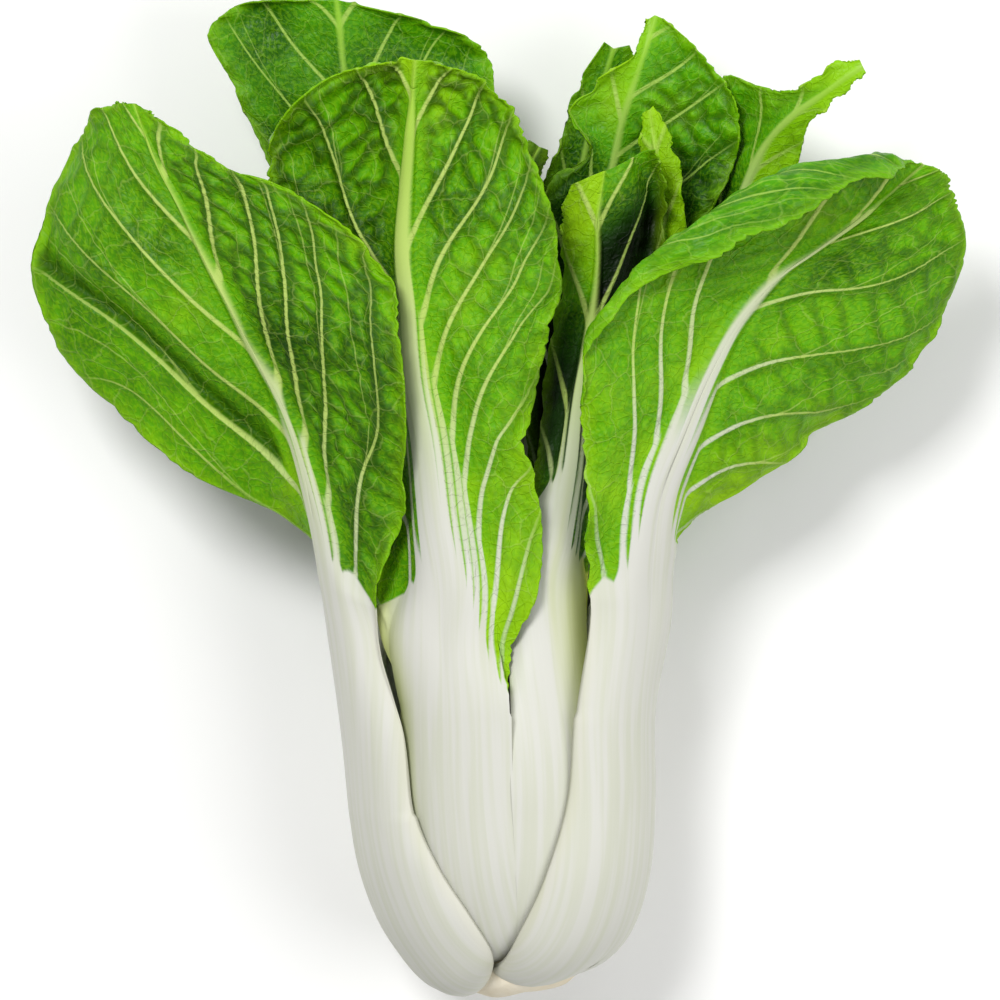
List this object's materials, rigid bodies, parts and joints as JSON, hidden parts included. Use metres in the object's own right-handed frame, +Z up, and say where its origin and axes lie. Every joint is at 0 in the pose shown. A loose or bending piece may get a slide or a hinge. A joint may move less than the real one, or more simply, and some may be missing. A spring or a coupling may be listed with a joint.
{
  "type": "bok choy",
  "caption": "Head of white-stemmed leafy greens lying on its back: thick pale stalks curve up from a cut root and fan out into broad, ruffled, veined green leaves.",
  "frame": {"origin": "on the surface the head lies on, under the middle of its bounding box", "axes": "+Y from the cut root to the leaf tips, +Z up from the surface, +X to the right for an eye looking down on it with the tips away"},
  "size_m": [0.3074, 0.329, 0.1085],
  "materials": {
    "stalk_white": "fresh crisp stalk, satin",
    "leaf_green": "fresh leaf, satin with a waxy sheen",
    "root_cream": "cut root, matt"
  },
  "bodies": {
    "root": {"core": "root_cream", "left_stalk": "stalk_white", "left_blade": "leaf_green", "front_stalk": "stalk_white", "front_blade": "leaf_green", "right_stalk": "stalk_white", "right_blade": "leaf_green", "centre_stalk": "stalk_white", "centre_blade": "leaf_green", "tall_stalk": "stalk_white", "tall_blade": "leaf_green", "strip_stalk": "stalk_white", "strip_blade": "leaf_green", "back_right_stalk": "stalk_white", "back_right_blade": "leaf_green", "back_middle_stalk": "stalk_white", "back_middle_blade": "leaf_green", "back_left_stalk": "stalk_white", "back_left_blade": "leaf_green", "floor_left_stalk": "stalk_white", "floor_left_blade": "leaf_green", "floor_right_stalk": "stalk_white", "floor_right_blade": "leaf_green", "heart_stalk": "stalk_white", "heart_blade": "leaf_green"}
  },
  "joints": []
}
